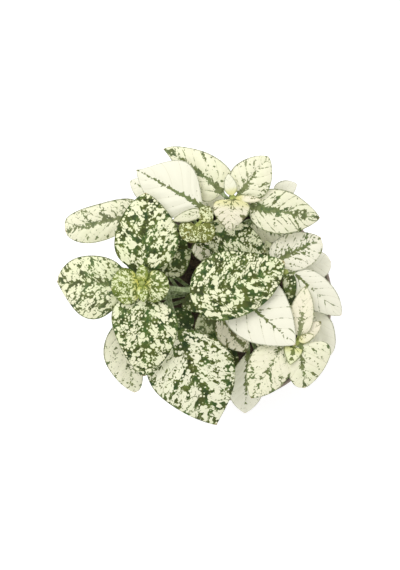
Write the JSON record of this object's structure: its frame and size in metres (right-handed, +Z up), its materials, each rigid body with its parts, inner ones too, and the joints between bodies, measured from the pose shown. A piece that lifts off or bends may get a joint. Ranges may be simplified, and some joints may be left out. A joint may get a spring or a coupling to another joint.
{
  "type": "potted polka dot plant",
  "caption": "Small bushy house plant with oval green leaves splashed cream white, growing from leafy stems in a round tapered plastic pot filled with soil",
  "frame": {"origin": "the middle of the pot's flat underside", "axes": "+Z is up along the pot's axis, +X is the plant's right side, +Y is its back"},
  "size_m": [0.1447, 0.1418, 0.1639],
  "materials": {
    "pot_plastic": "satin",
    "soil": "matte",
    "leaf": "satin"
  },
  "bodies": {
    "root": {"pot": "pot_plastic", "soil": "soil", "leafy_stem_left": "leaf", "leafy_stem_back": "leaf", "leafy_stem_back_right": "leaf", "leafy_stem_right": "leaf", "leafy_stem_front_right": "leaf", "leafy_stem_centre": "leaf"}
  },
  "joints": []
}
